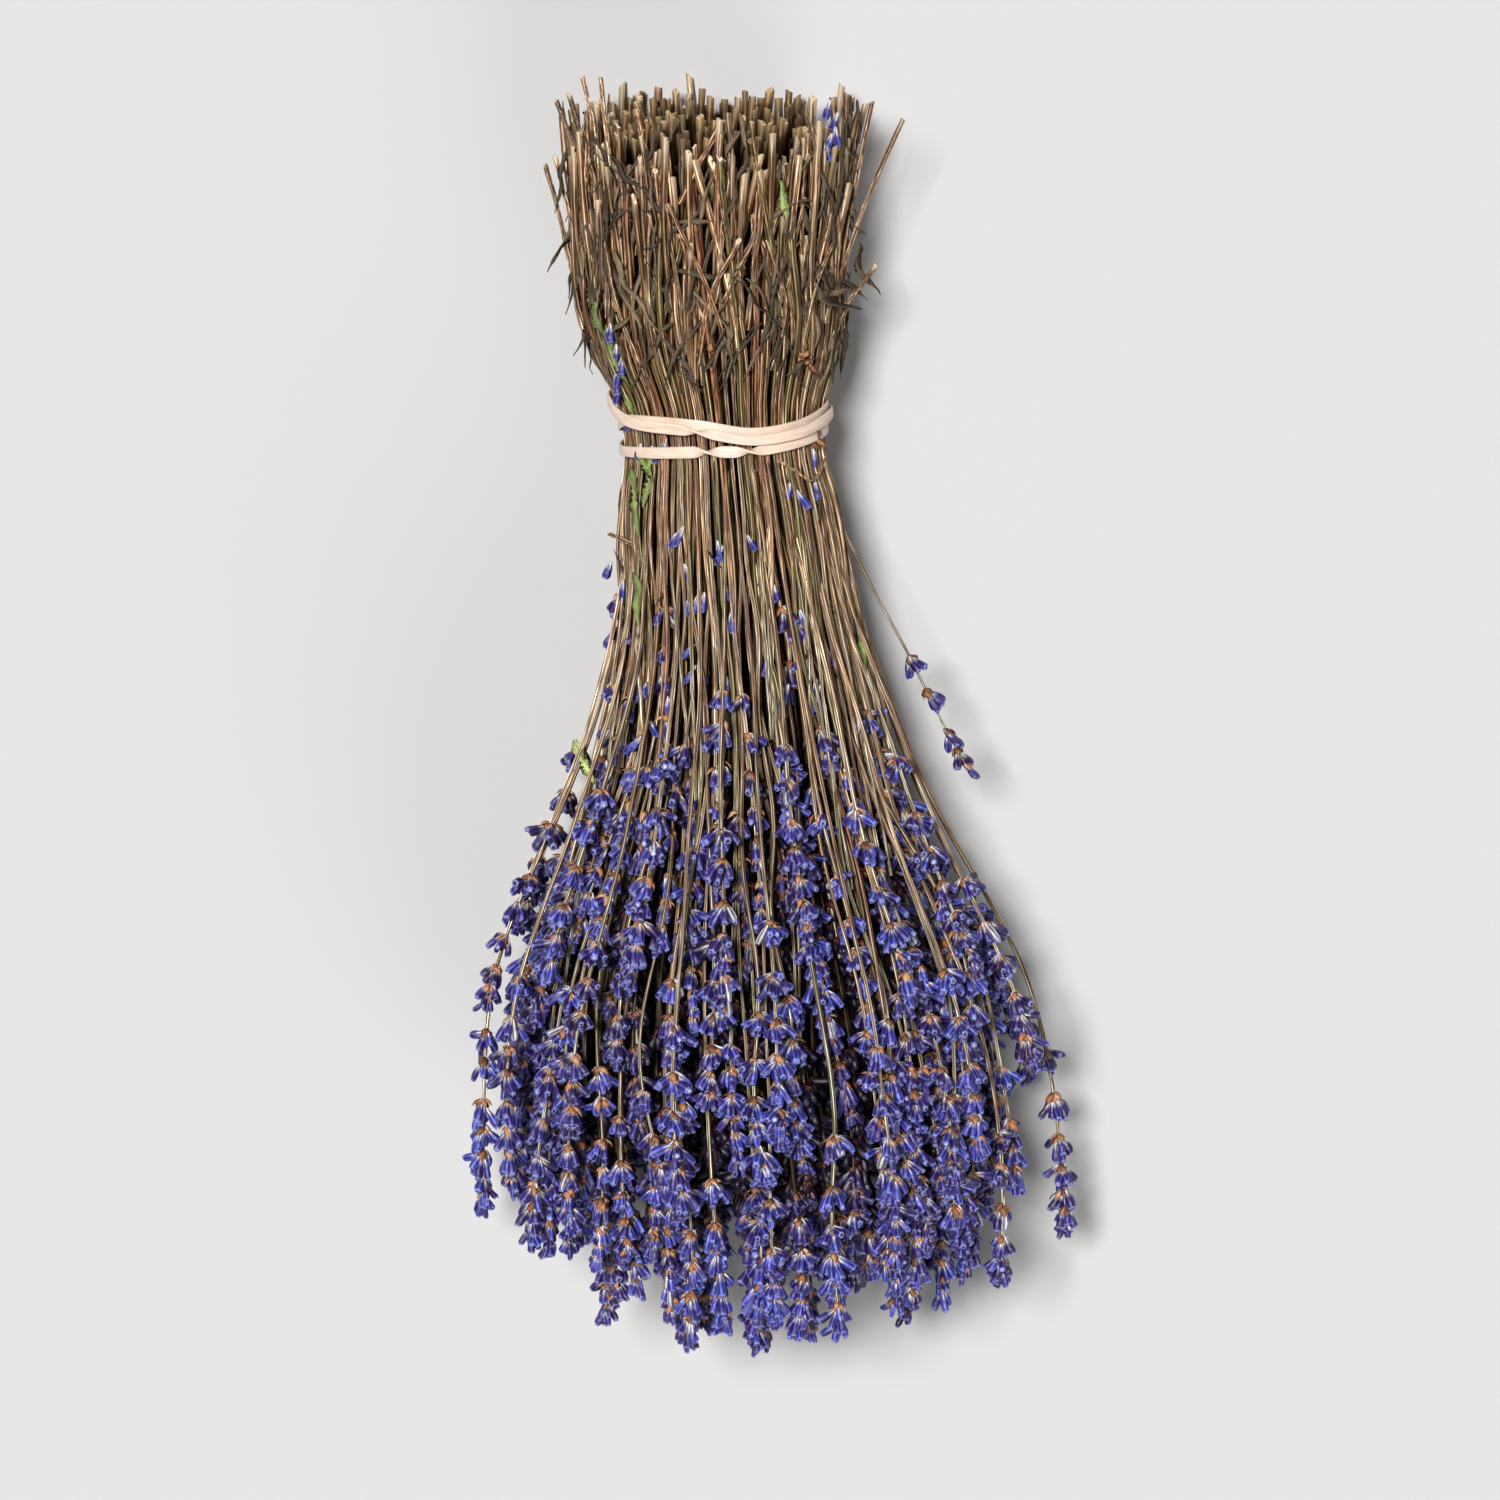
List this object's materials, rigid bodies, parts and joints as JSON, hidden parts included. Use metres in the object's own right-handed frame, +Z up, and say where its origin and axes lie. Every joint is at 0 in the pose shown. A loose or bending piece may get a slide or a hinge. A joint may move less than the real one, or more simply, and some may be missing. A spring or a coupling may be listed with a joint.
{
  "type": "bunch of dried lavender",
  "caption": "Bunch of dried lavender lying on its side: cut stems, a rubber band wound three times round the neck, and a flared head of blue-violet flower spikes.",
  "frame": {"origin": "under the middle of the bunch's outer box, on the surface that it lies on", "axes": "+Y along the bunch towards its cut stem ends, the flower tips point along -Y; +Z up, away from the surface"},
  "size_m": [0.1758, 0.3588, 0.1134],
  "materials": {
    "dried_lavender": "matt dried stems, olive grey to brown, with blue-violet ribbed flowers and papery orange-brown bracts",
    "rubber_band": "satin natural cream latex, slightly stained"
  },
  "bodies": {
    "root": {"handful_01": "dried_lavender", "handful_02": "dried_lavender", "handful_03": "dried_lavender", "handful_04": "dried_lavender", "handful_05": "dried_lavender", "handful_06": "dried_lavender", "handful_07": "dried_lavender", "handful_08": "dried_lavender", "handful_09": "dried_lavender", "handful_10": "dried_lavender", "handful_11": "dried_lavender", "handful_12": "dried_lavender", "handful_13": "dried_lavender", "handful_14": "dried_lavender", "handful_15": "dried_lavender", "handful_16": "dried_lavender", "handful_17": "dried_lavender", "handful_18": "dried_lavender", "handful_19": "dried_lavender", "handful_20": "dried_lavender", "handful_21": "dried_lavender", "handful_22": "dried_lavender", "handful_23": "dried_lavender", "handful_24": "dried_lavender", "handful_25": "dried_lavender", "handful_26": "dried_lavender", "handful_27": "dried_lavender", "handful_28": "dried_lavender", "handful_29": "dried_lavender", "handful_30": "dried_lavender", "handful_31": "dried_lavender", "handful_32": "dried_lavender", "handful_33": "dried_lavender", "handful_34": "dried_lavender", "handful_35": "dried_lavender", "handful_36": "dried_lavender", "handful_37": "dried_lavender", "outer_sprig_01": "dried_lavender", "outer_sprig_02": "dried_lavender", "outer_sprig_03": "dried_lavender", "outer_sprig_04": "dried_lavender", "outer_sprig_05": "dried_lavender", "outer_sprig_06": "dried_lavender", "outer_sprig_07": "dried_lavender", "outer_sprig_08": "dried_lavender", "outer_sprig_09": "dried_lavender", "outer_sprig_10": "dried_lavender", "outer_sprig_11": "dried_lavender", "outer_sprig_12": "dried_lavender", "outer_sprig_13": "dried_lavender", "outer_sprig_14": "dried_lavender", "outer_sprig_15": "dried_lavender", "outer_sprig_16": "dried_lavender", "outer_sprig_17": "dried_lavender", "outer_sprig_18": "dried_lavender", "outer_sprig_19": "dried_lavender", "outer_sprig_20": "dried_lavender", "rubber_band": "rubber_band"}
  },
  "joints": []
}
